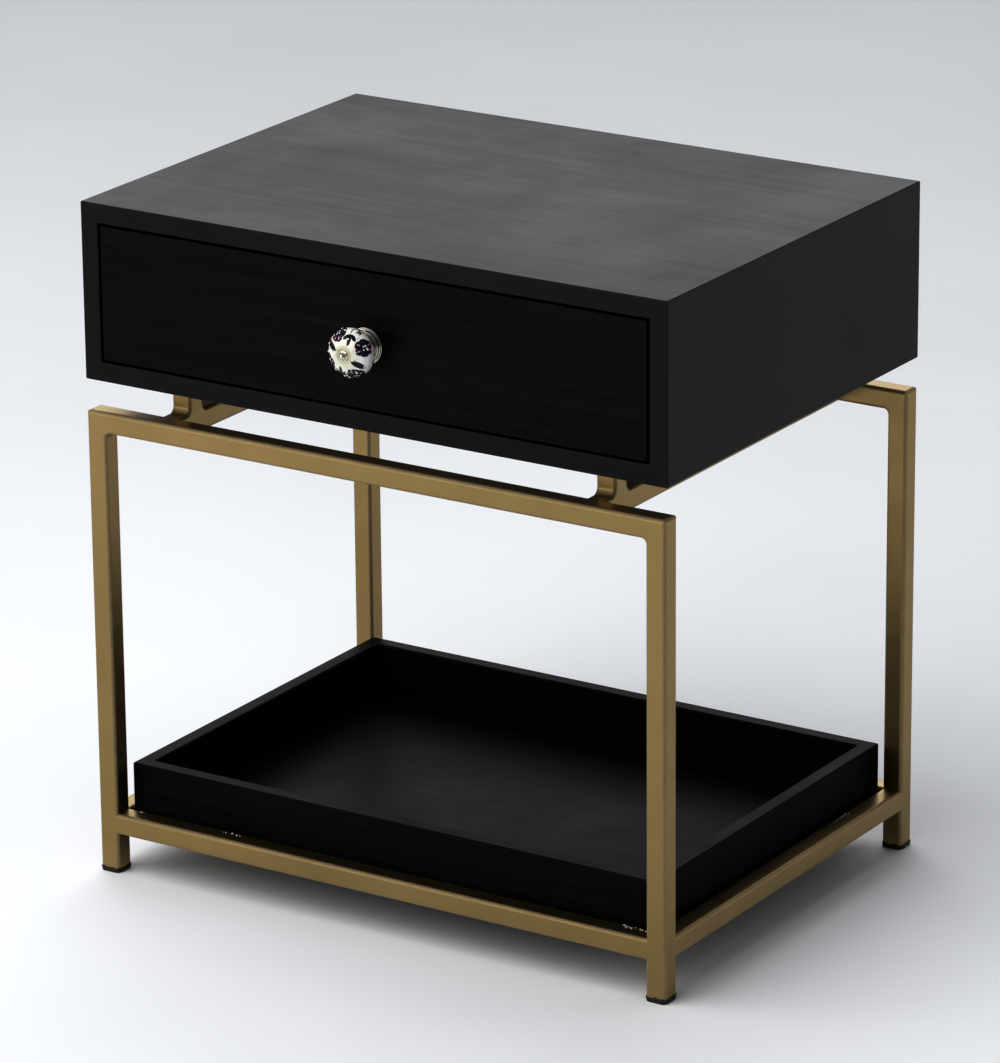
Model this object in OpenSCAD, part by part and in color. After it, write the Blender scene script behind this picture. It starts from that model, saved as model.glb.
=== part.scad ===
// Side table: a square-tube steel frame that carries a wooden case with one
// drawer, and a loose wooden tray that drops in between the bottom rails.
// X runs along the front, the front faces -Y, Z is up. The origin is on the
// floor, under the middle of the whole table with its knob. Millimetres.

/* [Overall] */
// Height of the table top above the floor
table_h = 634; // [560:1:760]
// Width of the drawer case
case_w = 604; // [500:1:760]
// Depth of the drawer case, front to back
case_d = 436; // [430:1:560]
// Height of the drawer case
case_h = 164; // [150:1:200]

/* [Frame] */
// How far the frame stands in from the case's left and right sides
frame_inset = 1; // [0:0.5:20]
// How far the frame stands out past the case's front and back
frame_proud = 2; // [0:0.5:10]
// Side of the square tube
tube = 20; // [18:1:24]
// Wall thickness of the tube
tube_wall = 1.5; // [1:0.1:2]
// Outside corner radius of the tube
tube_corner = 3.5; // [2.2:0.1:4]
// Radius of the outer corners where a leg meets its top rail
frame_corner = 4.5; // [1:0.1:6]
// Clear gap between the frame's top rails and the case
case_gap = 28; // [15:1:50]
// Height of the bottom rails' underside above the floor
bottom_rail_z = 38; // [25:1:80]
// Distance from the case's side to the middle of each runner
runner_inset = 80.5; // [60:0.5:120]
// Distance from the case's front or back to the near face of each post
post_setback = 32; // [26:1:60]
// Thickness of the flat bars that carry the tray
bearer_t = 3; // [2:0.5:5]
// Width of the flat bars that carry the tray
bearer_w = 30; // [20:1:40]

/* [Feet] */
// Thickness of each foot's pad under its leg
foot_h = 4; // [3:0.5:8]
// How far each pad stands out past its leg, on every side
foot_lip = 1; // [0.5:0.5:2]
// Height of each foot's plug inside its leg
plug_h = 16; // [10:1:25]

/* [Case and drawer] */
// Thickness of the case's panels and the drawer's face
panel = 18; // [16:1:20]
// Thickness of the case's back panel
back_t = 12; // [6:1:15]
// Gap all round the drawer's face
reveal = 2.5; // [2:0.5:4]
// Thickness of the drawer box's sides, back and inner front
board = 12; // [10:1:14]
// Thickness of the drawer's bottom
bottom_t = 6; // [4:0.5:8]
// Depth of the drawer box behind the drawer's face
box_d = 380; // [355:1:385]

/* [Slides] */
// Length of the ball-bearing slides
slide_l = 350; // [320:10:350]
// How far the drawer pulls out
travel = 260; // [200:5:260]
// Space for a slide between the drawer box and the case
slide_gap = 13; // [13:0.5:15]

/* [Knob] */
// Largest diameter of the knob's round body
knob_d = 44; // [36:1:50]
// Length of the knob's round body along its axis
knob_l = 28; // [24:1:36]
// Diameter of the stepped metal base
base_d = 33; // [26:1:34]
// Height of the stepped metal base
base_h = 9; // [6:0.5:12]
// Diameter of the domed cap in front
cap_d = 9; // [7:0.5:12]
// Height of the domed cap
cap_h = 3; // [2:0.5:4]

/* [Tray] */
// Clear gap between the tray and the frame, on every side
tray_gap = 2.5; // [1:0.5:5]
// Thickness of the tray's walls
tray_wall = 15; // [12:1:20]
// Thickness of the tray's floor
tray_floor_t = 12; // [9:1:15]
// Height of the tray
tray_h = 61; // [45:1:90]

/* [Hidden] */
$fn = 48;
SIDES = [["left", -1], ["right", 1]];
ENDS = [["front", -1], ["rear", 1]];
CORNERS = [for (e = ENDS, s = SIDES) [str(e[0], "_", s[0]), s[1], e[1]]];

GOLD = [0.55, 0.44, 0.27];
BLACK_WOOD = [0.12, 0.12, 0.12];
PLAIN_WOOD = [0.66, 0.53, 0.38];
STEEL = [0.72, 0.73, 0.74];
BLACK_PLASTIC = [0.07, 0.07, 0.07];
GLAZE = [0.93, 0.92, 0.88];
BRASS = [0.78, 0.62, 0.33];

eps = 0.01;
clear = 0.1;          // gap between a plug or screw and its hole
bore = tube - 2 * tube_wall;
knob_reach = base_h + knob_l + cap_h;

frame_w = case_w - 2 * frame_inset;
frame_d = case_d + 2 * frame_proud;

// The knob stands out in front, so the frame's middle is moved back to
// centre the whole table on the origin.
mid_y = (case_d / 2 + knob_reach - frame_d / 2 - foot_lip) / 2;
case_front_y = mid_y - case_d / 2;
case_back_y = mid_y + case_d / 2;
case_z = table_h - case_h;
frame_top = case_z - case_gap;
runner_x = case_w / 2 - runner_inset;
post_y = case_d / 2 - post_setback - tube / 2;

// Bolts that hold the case to the frame. Their heads sit inside the runners,
// against the upper wall, and go in through access holes in the lower wall.
bolt_r = 3;
bolt_hole_r = 3.3;
bolt_head_h = 4;
bolt_head_flats = 10;
washer_r = 6;
washer_t = 1.2;
washer_z = frame_top - tube_wall - washer_t;
access_hole_r = washer_r + 0.6;
insert_r = 4.5;
insert_h = 13;

// Ball-bearing slides: u is measured from the case's side towards the drawer
slide_half_h = 17.5;
slide_lip = 1;
outer_depth = 11.5;
inner_half_h = 12.5;
inner_start = 3;
sheet = 1.2;
ball_r = 1.6;
ball_u = 7;
ball_pitch = 12;
cage_l = slide_l - travel - 6;
ball_count = floor(cage_l / ball_pitch) - 1;
cage_start = 1.8;
cage_depth = 7.6;
cage_t = 0.8;
ball_z = (slide_half_h - sheet + inner_half_h) / 2;
cage_y = case_front_y + panel + travel / 2 + 1;
screw_r = 1.75;
screw_head_r = 3.2;
screw_head_h = 2;
screw_l = 11;
screw_spots = [35, slide_l / 2, slide_l - 35];

// Drawer
face_w = case_w - 2 * panel - 2 * reveal;
face_h = case_h - 2 * panel - 2 * reveal;
box_w = case_w - 2 * panel - 2 * slide_gap;
box_y = case_front_y + panel;
box_under = 10;       // gap from the face's lower edge up to the box
box_over = 18;        // gap from the box up to the face's upper edge
box_z = case_z + panel + reveal + box_under;
box_h = face_h - box_under - box_over;
slide_z = box_z + box_h / 2;
groove_z = box_z + 8;
groove_in = 6;
knob_z = slide_z;
face_screw_x = box_w / 2 - 71;
face_screw_dz = 28;
face_screw_tip = 12;  // how deep the screws reach into the drawer's face
knob_flat_angle = 68; // where the ball's outline ends at a flat, from its middle
knob_flat = knob_l / 2 * sin(knob_flat_angle);
knob_bolt_r = 2.5;
knob_nut_flats = 8;
knob_nut_h = 4;
knob_washer_r = 7;
knob_washer_t = 1;

// Tray
tray_w = frame_w - 2 * tube - 2 * tray_gap;
tray_d = frame_d - 2 * tube - 2 * tray_gap;
tray_z = bottom_rail_z + bearer_t;

// ---- shared shapes -------------------------------------------------------

// A square with rounded corners, drawn with true arcs
module rounded_square(side, radius) {
    square([side, side - 2 * radius], center = true);
    square([side - 2 * radius, side], center = true);
    for (x = [-1, 1], y = [-1, 1])
        translate([x, y] * (side / 2 - radius)) circle(radius);
}

// Square tube along +Z, centred on the axis
module square_tube(length) {
    linear_extrude(length) difference() {
        rounded_square(tube, tube_corner);
        rounded_square(bore, tube_corner - tube_wall);
    }
}

module tube_along_x(length) {
    translate([-length / 2, 0, 0]) rotate([0, 90, 0]) square_tube(length);
}

module tube_along_y(length) {
    translate([0, length / 2, 0]) rotate([90, 0, 0]) square_tube(length);
}

// What is cut off a square corner at the origin to round it
module corner_waste(radius) {
    translate([-radius, -radius]) difference() {
        square(radius + 1);
        circle(radius);
    }
}

// Board with its ends cut at 45 degrees. Its outer face is on the X axis, its
// thickness runs towards -Y and its width along Z.
module mitred_board(length, thickness, width) {
    linear_extrude(width)
        polygon([[-length / 2, 0], [length / 2, 0],
                 [length / 2 - thickness, -thickness], [-length / 2 + thickness, -thickness]]);
}

// A board given by its low corner and its size
module board_at(low, size) {
    translate(low) cube(size);
}

// Cylinder along +Y from a start point
module rod_y(start, length, radius) {
    translate(start) rotate([-90, 0, 0]) cylinder(h = length, r = radius);
}

// Hexagon bar along +Z, given by its width across the flats
module hexagon_bar(flats, height) {
    cylinder(h = height, r = flats / sqrt(3), $fn = 6);
}

// Repeats its children at the four posts
module at_posts() {
    for (c = CORNERS)
        translate([c[1] * runner_x, mid_y + c[2] * post_y, 0]) children();
}

// ---- steel frame ---------------------------------------------------------

// Leg with its top cut at 45 degrees, to meet the top rail in a mitre
module leg(side, end) {
    length = frame_top - foot_h;
    color(GOLD)
        translate([side * (frame_w - tube) / 2, mid_y + end * (frame_d - tube) / 2, foot_h])
            mirror([side < 0 ? 1 : 0, 0, 0])
                difference() {
                    square_tube(length);
                    translate([tube / 2, tube, length]) rotate([90, 0, 0]) linear_extrude(2 * tube) {
                        polygon([[1, 1], [-tube - 1, -tube - 1], [-tube - 1, 1]]);
                        corner_waste(frame_corner);
                    }
                }
}

// Top rail across the front or back, mitred at both ends
module top_rail(end) {
    color(GOLD)
        translate([0, mid_y + end * (frame_d - tube) / 2, frame_top - tube / 2])
            difference() {
                tube_along_x(frame_w);
                for (s = [0, 1])
                    mirror([s, 0, 0]) translate([frame_w / 2, tube, tube / 2]) rotate([90, 0, 0])
                        linear_extrude(2 * tube) {
                            polygon([[1, 1], [1, -tube - 1], [-tube - 1, -tube - 1]]);
                            corner_waste(frame_corner);
                        }
            }
}

module bottom_rail_long(end) {
    color(GOLD)
        translate([0, mid_y + end * (frame_d - tube) / 2, bottom_rail_z + tube / 2])
            tube_along_x(frame_w - 2 * tube);
}

module bottom_rail_short(side) {
    color(GOLD)
        translate([side * (frame_w - tube) / 2, mid_y, bottom_rail_z + tube / 2])
            tube_along_y(frame_d - 2 * tube);
}

// Runner from the front top rail to the rear one, drilled for two bolts and
// their access holes
module runner(side) {
    color(GOLD)
        difference() {
            translate([side * runner_x, mid_y, frame_top - tube / 2])
                tube_along_y(frame_d - 2 * tube);
            at_posts() {
                translate([0, 0, washer_z]) cylinder(h = tube, r = bolt_hole_r);
                translate([0, 0, frame_top - tube - 1])
                    cylinder(h = tube_wall + 2, r = access_hole_r);
            }
        }
}

// Short tube that stands on a runner and carries the case
module post(side, end) {
    color(GOLD)
        translate([side * runner_x, mid_y + end * post_y, frame_top]) square_tube(case_gap);
}

// Flat bar under the tray, flush with the underside of the bottom rails
module tray_bearer(side) {
    length = frame_d - 2 * tube;
    color(GOLD)
        board_at([side * runner_x - bearer_w / 2, mid_y - length / 2, bottom_rail_z],
                 [bearer_w, length, bearer_t]);
}

// Foot: a pad with rounded edges under the leg and a plug up inside it
module foot(side, end) {
    pad = tube + 2 * foot_lip;
    plug = bore - 2 * clear;
    color(BLACK_PLASTIC)
        translate([side * (frame_w - tube) / 2, mid_y + end * (frame_d - tube) / 2, 0]) {
            linear_extrude(foot_h) rounded_square(pad, tube_corner + foot_lip);
            translate([0, 0, foot_h - eps]) linear_extrude(plug_h)
                rounded_square(plug, tube_corner - tube_wall);
        }
}

// ---- case ----------------------------------------------------------------

// One panel of the case's ring. The middle of its outer face is at x and z.
module case_panel(width, x, z, turn) {
    translate([x, case_back_y, z]) rotate([90, 0, 0]) rotate(turn) mitred_board(width, panel, case_d);
}

module case_top() {
    color(BLACK_WOOD) case_panel(case_w, 0, table_h, 0);
}

module case_bottom() {
    color(BLACK_WOOD)
        difference() {
            case_panel(case_w, 0, case_z, 180);
            at_posts() translate([0, 0, case_z - 1]) cylinder(h = insert_h + 1, r = insert_r);
        }
}

module case_side(side) {
    color(BLACK_WOOD)
        difference() {
            case_panel(case_h, side * case_w / 2, case_z + case_h / 2, -90 * side);
            slide_screws(side, true, screw_r + eps);
        }
}

module case_back() {
    color(BLACK_WOOD)
        board_at([-case_w / 2 + panel, case_back_y - back_t, case_z + panel],
                 [case_w - 2 * panel, back_t, case_h - 2 * panel]);
}

// ---- fixings between case and frame --------------------------------------

module frame_bolts() {
    color(STEEL) at_posts() {
        translate([0, 0, washer_z - bolt_head_h]) hexagon_bar(bolt_head_flats, bolt_head_h);
        translate([0, 0, washer_z - eps]) cylinder(h = case_z + insert_h - 1 - washer_z, r = bolt_r);
    }
}

module bolt_washers() {
    color(STEEL) at_posts() translate([0, 0, washer_z])
        difference() {
            cylinder(h = washer_t, r = washer_r);
            translate([0, 0, -1]) cylinder(h = washer_t + 2, r = bolt_hole_r);
        }
}

module threaded_inserts() {
    color(BRASS) at_posts() translate([0, 0, case_z])
        difference() {
            cylinder(h = insert_h, r = insert_r - eps);
            translate([0, 0, -1]) cylinder(h = insert_h + 2, r = bolt_r + eps);
        }
}

// ---- slides --------------------------------------------------------------

// Places a shape whose x runs from the case's side towards the drawer, and
// whose z is measured from the slide's middle line
module at_slide(side, y) {
    translate([side * (case_w / 2 - panel), y, slide_z])
        mirror([side > 0 ? 1 : 0, 0, 0]) children();
}

// Countersunk screws along one slide. They point into the case's side, or
// into the drawer's side. A radius wider than the screw's gives their holes.
module slide_screws(side, into_case, radius) {
    for (spot = screw_spots)
        at_slide(side, box_y + spot)
            translate([into_case ? sheet : slide_gap - sheet, 0, 0])
                rotate([0, into_case ? -90 : 90, 0]) {
                    cylinder(h = sheet, r = screw_head_r + radius - screw_r);
                    cylinder(h = screw_l, r = radius);
                }
}

// C-shaped channel fixed to the case, with small lips at its mouth
module slide_outer(side) {
    color(STEEL)
        difference() {
            at_slide(side, box_y) {
                board_at([0, 0, -slide_half_h], [sheet, slide_l, 2 * slide_half_h]);
                for (m = [0, 1]) mirror([0, 0, m]) {
                    board_at([0, 0, slide_half_h - sheet], [outer_depth, slide_l, sheet]);
                    board_at([outer_depth - sheet, 0, slide_half_h - sheet - slide_lip],
                             [sheet, slide_l, slide_lip + eps]);
                }
            }
            slide_screws(side, true, screw_r + eps);
        }
}

// Narrower channel fixed to the drawer, open towards the case
module slide_inner(side) {
    color(STEEL)
        difference() {
            at_slide(side, box_y) {
                board_at([slide_gap - sheet, 0, -inner_half_h], [sheet, slide_l, 2 * inner_half_h]);
                for (m = [0, 1]) mirror([0, 0, m])
                    board_at([inner_start, 0, inner_half_h - sheet],
                             [slide_gap - inner_start, slide_l, sheet]);
            }
            slide_screws(side, false, screw_r + eps);
        }
}

// Balls in two rows, above and below the inner channel
module ball_rows(side, radius) {
    for (i = [0 : ball_count - 1], m = [-1, 1])
        at_slide(side, cage_y)
            translate([ball_u, cage_l / 2 + (i - (ball_count - 1) / 2) * ball_pitch, m * ball_z])
                sphere(radius, $fn = 24);
}

module ball_cage(side) {
    color(STEEL)
        difference() {
            at_slide(side, cage_y) {
                board_at([cage_start, 0, -ball_z], [cage_t, cage_l, 2 * ball_z]);
                for (m = [0, 1]) mirror([0, 0, m])
                    board_at([cage_start, 0, ball_z - cage_t / 2], [cage_depth, cage_l, cage_t]);
            }
            ball_rows(side, ball_r + eps);
        }
}

module bearing_balls(side) {
    color(STEEL) ball_rows(side, ball_r);
}

// ---- drawer --------------------------------------------------------------

// Holes or shanks along Y at the four screws that hold the drawer's face
module at_face_screws() {
    for (x = [-1, 1], z = [-1, 1])
        translate([x * face_screw_x, 0, slide_z + z * face_screw_dz]) children();
}

module drawer_face() {
    color(BLACK_WOOD)
        difference() {
            board_at([-face_w / 2, case_front_y, case_z + panel + reveal], [face_w, panel, face_h]);
            at_face_screws() rod_y([0, box_y - face_screw_tip - 1, 0], face_screw_tip + 2, screw_r + eps);
            rod_y([0, case_front_y - 1, knob_z], panel + 2, knob_bolt_r + clear);
        }
}

// The groove that holds the drawer's bottom on all four sides
module bottom_groove() {
    board_at([-box_w / 2 + board - groove_in, box_y + board - groove_in, groove_z - clear],
             [box_w - 2 * (board - groove_in), box_d - 2 * (board - groove_in), bottom_t + 2 * clear]);
}

module drawer_front_board() {
    color(PLAIN_WOOD)
        difference() {
            board_at([-box_w / 2 + board, box_y, box_z], [box_w - 2 * board, board, box_h]);
            bottom_groove();
            at_face_screws() rod_y([0, box_y - 1, 0], board + 2, screw_r + eps);
            rod_y([0, box_y - 1, knob_z], board + 2, knob_bolt_r + clear);
        }
}

module drawer_back() {
    color(PLAIN_WOOD)
        difference() {
            board_at([-box_w / 2 + board, box_y + box_d - board, box_z], [box_w - 2 * board, board, box_h]);
            bottom_groove();
        }
}

module drawer_side(side) {
    color(PLAIN_WOOD)
        difference() {
            board_at([side * (box_w - board) / 2 - board / 2, box_y, box_z], [board, box_d, box_h]);
            bottom_groove();
            slide_screws(side, false, screw_r + eps);
        }
}

module drawer_bottom() {
    inset = board - groove_in + 2 * clear;
    color(PLAIN_WOOD)
        board_at([-box_w / 2 + inset, box_y + inset, groove_z],
                 [box_w - 2 * inset, box_d - 2 * inset, bottom_t]);
}

module face_screws() {
    color(STEEL) at_face_screws() {
        rod_y([0, box_y + board, 0], screw_head_h, screw_head_r);
        rod_y([0, box_y - face_screw_tip, 0], face_screw_tip + board + 1, screw_r);
    }
}

// ---- knob ----------------------------------------------------------------

// Turns a profile, drawn with its axis along +Y, about the knob's axis, with
// the profile's zero on the drawer's face and its height towards the viewer
module knob_turned() {
    translate([0, case_front_y, knob_z]) rotate([90, 0, 0]) rotate_extrude($fn = 72) children();
}

// Flattened ball: an ellipse by formula, cut flat at the base and the cap
module knob_body() {
    steps = 16;
    color(GLAZE) knob_turned() translate([0, base_h + knob_l / 2])
        polygon([
            [knob_bolt_r + clear, -knob_flat],
            for (i = [-steps : steps])
                let (a = knob_flat_angle * i / steps) [knob_d / 2 * cos(a), knob_l / 2 * sin(a)],
            [knob_bolt_r + clear, knob_flat]
        ]);
}

// Stepped metal base: a thin flange, a wall, a shoulder and a collar under the ball
module knob_base() {
    seat = base_h + knob_l / 2 - knob_flat;
    inner = knob_bolt_r + clear;
    color(STEEL) knob_turned() difference() {
        union() {
            square([base_d / 2, base_h * 0.18]);
            square([base_d / 2 - 1.5, base_h * 0.6]);
            square([base_d / 2 - 4, base_h * 0.8]);
            square([base_d / 2 - 6.5, seat]);
        }
        translate([-1, -1]) square([inner + 1, seat + 2]);
    }
}

// Bolt through the knob, with its domed cap in front
module knob_bolt() {
    seat = base_h + knob_l / 2 + knob_flat;
    crown = knob_reach - seat;
    grip = panel + board + knob_washer_t + knob_nut_h + 3;
    dome_steps = 8;
    color(STEEL) knob_turned()
        polygon([
            [0, -grip], [knob_bolt_r, -grip], [knob_bolt_r, seat],
            for (i = [0 : dome_steps])
                let (a = 90 * i / dome_steps) [cap_d / 2 * cos(a), seat + crown * sin(a)]
        ]);
}

module knob_washer() {
    color(STEEL)
        difference() {
            rod_y([0, box_y + board, knob_z], knob_washer_t, knob_washer_r);
            rod_y([0, box_y + board - 1, knob_z], knob_washer_t + 2, knob_bolt_r + clear);
        }
}

module knob_nut() {
    color(STEEL)
        difference() {
            translate([0, box_y + board + knob_washer_t, knob_z]) rotate([-90, 0, 0])
                hexagon_bar(knob_nut_flats, knob_nut_h);
            rod_y([0, box_y + board, knob_z], knob_nut_h + 3, knob_bolt_r + eps);
        }
}

// ---- tray ----------------------------------------------------------------

module tray_wall_long(end) {
    color(BLACK_WOOD)
        translate([0, mid_y + end * tray_d / 2, tray_z]) rotate(end < 0 ? 180 : 0)
            mitred_board(tray_w, tray_wall, tray_h);
}

module tray_wall_short(side) {
    color(BLACK_WOOD)
        translate([side * tray_w / 2, mid_y, tray_z]) rotate(-90 * side)
            mitred_board(tray_d, tray_wall, tray_h);
}

module tray_floor() {
    width = tray_w - 2 * tray_wall;
    length = tray_d - 2 * tray_wall;
    color(BLACK_WOOD)
        board_at([-width / 2, mid_y - length / 2, tray_z], [width, length, tray_floor_t]);
}

// ---- the nodes -----------------------------------------------------------

for (c = CORNERS) {
    leg(c[1], c[2]);
    foot(c[1], c[2]);
    post(c[1], c[2]);
}
for (e = ENDS) {
    top_rail(e[1]);
    bottom_rail_long(e[1]);
    tray_wall_long(e[1]);
}
for (s = SIDES) {
    bottom_rail_short(s[1]);
    runner(s[1]);
    tray_bearer(s[1]);
    case_side(s[1]);
    slide_outer(s[1]);
    slide_inner(s[1]);
    ball_cage(s[1]);
    bearing_balls(s[1]);
    drawer_side(s[1]);
    tray_wall_short(s[1]);
}
case_top();
case_bottom();
case_back();
frame_bolts();
bolt_washers();
threaded_inserts();
color(STEEL) for (s = SIDES) slide_screws(s[1], true, screw_r);  // case_slide_screws
color(STEEL) for (s = SIDES) slide_screws(s[1], false, screw_r);  // drawer_slide_screws
drawer_face();
drawer_front_board();
drawer_back();
drawer_bottom();
face_screws();
knob_body();
knob_base();
knob_bolt();
knob_washer();
knob_nut();
tray_floor();
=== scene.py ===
"""Looks of the side table: a gold steel frame, a black wooden case with one drawer and a black tray.

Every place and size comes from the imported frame. Lengths are metres, written as millimetres times MM.
Only the outlines of the knob, its painting and the screws are laid out in millimetres.
"""
import math
import random

import bmesh
import bpy
from mathutils import Matrix, Vector, noise


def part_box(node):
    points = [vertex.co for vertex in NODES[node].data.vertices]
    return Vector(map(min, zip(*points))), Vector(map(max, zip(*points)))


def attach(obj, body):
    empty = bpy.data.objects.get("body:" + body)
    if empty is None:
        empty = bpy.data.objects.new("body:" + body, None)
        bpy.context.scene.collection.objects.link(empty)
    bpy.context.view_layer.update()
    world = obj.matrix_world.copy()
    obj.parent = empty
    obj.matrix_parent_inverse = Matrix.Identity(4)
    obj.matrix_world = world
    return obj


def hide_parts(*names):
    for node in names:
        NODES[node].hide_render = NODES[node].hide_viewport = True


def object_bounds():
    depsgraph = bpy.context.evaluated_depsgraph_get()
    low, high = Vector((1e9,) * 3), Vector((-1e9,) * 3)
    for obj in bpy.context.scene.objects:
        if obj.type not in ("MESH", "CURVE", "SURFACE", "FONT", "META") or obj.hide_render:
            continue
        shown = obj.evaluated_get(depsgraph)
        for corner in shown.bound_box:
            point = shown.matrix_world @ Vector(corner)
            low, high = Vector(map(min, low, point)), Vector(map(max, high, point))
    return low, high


MM = 0.001
X = Vector((1, 0, 0))
Y = Vector((0, 1, 0))
Z = Vector((0, 0, 1))
SIDES = {"left": -1, "right": 1}
ENDS = {"front": -1, "rear": 1}
CORNERS = [(end, side) for end in ENDS for side in SIDES]

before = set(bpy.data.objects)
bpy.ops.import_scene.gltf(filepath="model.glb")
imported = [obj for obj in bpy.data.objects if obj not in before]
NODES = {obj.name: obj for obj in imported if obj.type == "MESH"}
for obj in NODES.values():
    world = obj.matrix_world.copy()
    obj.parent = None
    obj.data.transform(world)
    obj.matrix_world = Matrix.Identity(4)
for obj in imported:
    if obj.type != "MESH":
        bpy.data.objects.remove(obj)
CAD_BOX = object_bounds()


# ---- small helpers ---------------------------------------------------------------------------

def middle(node):
    """Centre of a CAD node's box."""
    low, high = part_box(node)
    return (low + high) / 2


def size(node):
    """Size of a CAD node's box."""
    low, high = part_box(node)
    return high - low


TUBE = size("bottom_rail_front").z
TUBE_CORNER = 3.5 * MM
CASE_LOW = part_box("case_bottom")[0]
CASE_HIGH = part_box("case_top")[1]
TRAY_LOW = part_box("tray_wall_left")[0]
TRAY_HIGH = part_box("tray_wall_right")[1]
TRAY_LOW.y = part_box("tray_wall_front")[0].y
TRAY_HIGH.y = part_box("tray_wall_rear")[1].y
PANEL = size("case_top").z
FACE_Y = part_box("drawer_face")[0].y
KNOB_Z = middle("knob_base").z
BALL_MIDDLE = middle("knob_body")
BALL_RADIUS = size("knob_body").x / 2
BALL_FLAT_ANGLE = math.radians(68)
BALL_HALF = size("knob_body").y / 2 / math.sin(BALL_FLAT_ANGLE)


class Shell:
    """Gathers faces whose corners carry their own normals. Corners at one place share a vertex."""

    def __init__(self):
        self.points = []
        self.index = {}
        self.faces = []
        self.normals = []

    def vertex(self, point):
        key = tuple(round(c * 1e7) for c in point)
        if key not in self.index:
            self.index[key] = len(self.points)
            self.points.append(tuple(point))
        return self.index[key]

    def face(self, corners):
        """Adds a face from (point, normal) pairs, without repeated corners."""
        kept = []
        for point, normal in corners:
            number = self.vertex(point)
            if number not in [k[0] for k in kept]:
                kept.append((number, tuple(normal)))
        if len(kept) > 2:
            self.faces.append([k[0] for k in kept])
            self.normals.extend(k[1] for k in kept)

    def mesh(self, name):
        mesh = bpy.data.meshes.new(name)
        mesh.from_pydata(self.points, [], self.faces)
        mesh.shade_smooth()
        mesh.normals_split_custom_set(self.normals)
        return mesh


def add_piece(name, mesh, body, material, replaces=()):
    """Makes a piece from a mesh that is already in place."""
    piece = bpy.data.objects.new(name, mesh)
    bpy.context.scene.collection.objects.link(piece)
    mesh.materials.clear()
    mesh.materials.append(material)
    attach(piece, body)
    if replaces:
        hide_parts(*replaces)
    return piece


class Solids:
    """Gathers closed solids, each lofted through rings of points, into one mesh."""

    def __init__(self):
        self.points = []
        self.faces = []

    def loft(self, rings, loop=False):
        """Joins rings of equal length. Both ends are closed, or joined to each other in a loop.

        A ring of one point makes a tip.
        """
        starts = []
        for ring in rings:
            starts.append(len(self.points))
            self.points.extend(tuple(p) for p in ring)
        steps = list(zip(starts, rings))
        pairs = list(zip(steps, steps[1:]))
        if loop:
            pairs.append((steps[-1], steps[0]))
        for (low, ring), (high, following) in pairs:
            for i in range(max(len(ring), len(following))):
                j = (i + 1) % max(len(ring), len(following))
                if len(ring) == 1:
                    self.faces.append((low, high + j, high + i))
                elif len(following) == 1:
                    self.faces.append((low + i, low + j, high))
                else:
                    self.faces.append((low + i, low + j, high + j, high + i))
        if loop:
            return
        for start, ring in (steps[0], steps[-1]):
            if len(ring) > 1:
                self.faces.append(tuple(range(start, start + len(ring))))

    def mesh(self, name, sharp_angle=35):
        mesh = bpy.data.meshes.new(name)
        mesh.from_pydata(self.points, [], self.faces)
        build = bmesh.new()
        build.from_mesh(mesh)
        bmesh.ops.recalc_face_normals(build, faces=build.faces)
        build.to_mesh(mesh)
        build.free()
        mesh.shade_smooth()
        mesh.set_sharp_from_angle(angle=math.radians(sharp_angle))
        return mesh


def circle(radius, count):
    """Points of a circle round the origin, anticlockwise."""
    turns = [2 * math.pi * i / count for i in range(count)]
    return [(radius * math.cos(a), radius * math.sin(a)) for a in turns]


def rounded_square(half, radius, steps=8, pieces=1):
    """Points of a square with rounded corners round the origin, anticlockwise.

    Each straight side is split into a number of pieces.
    """
    points = []
    for corner in range(4):
        start = corner * math.pi / 2
        across = (half - radius) * (1 if corner in (0, 3) else -1)
        up = (half - radius) * (1 if corner < 2 else -1)
        for i in range(steps + 1):
            angle = start + math.pi / 2 * i / steps
            points.append((across + radius * math.cos(angle), up + radius * math.sin(angle)))
        end_u, end_v = points[-1]
        onward = start + math.pi / 2
        for i in range(1, pieces):
            step = 2 * (half - radius) * i / pieces
            points.append((end_u - step * math.sin(onward), end_v + step * math.cos(onward)))
    return points


def place_ring(points, origin, across, up):
    """Puts flat points into space."""
    return [origin + across * p[0] + up * p[1] for p in points]


def rounded_path(corners):
    """Closed outline through (x, y, reach) corners, each rounded from a reach before to a reach after."""
    steps = 5
    path = []
    for i, (x, y, reach) in enumerate(corners):
        here = Vector((x, y))
        before = Vector(corners[i - 1][:2])
        after = Vector(corners[(i + 1) % len(corners)][:2])
        if reach == 0:
            path.append(here)
            continue
        start = here + (before - here).normalized() * reach
        end = here + (after - here).normalized() * reach
        for step in range(steps + 1):
            t = step / steps
            path.append(start * (1 - t) ** 2 + here * 2 * t * (1 - t) + end * t ** 2)
    return path


# ---- materials -------------------------------------------------------------------------------

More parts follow.
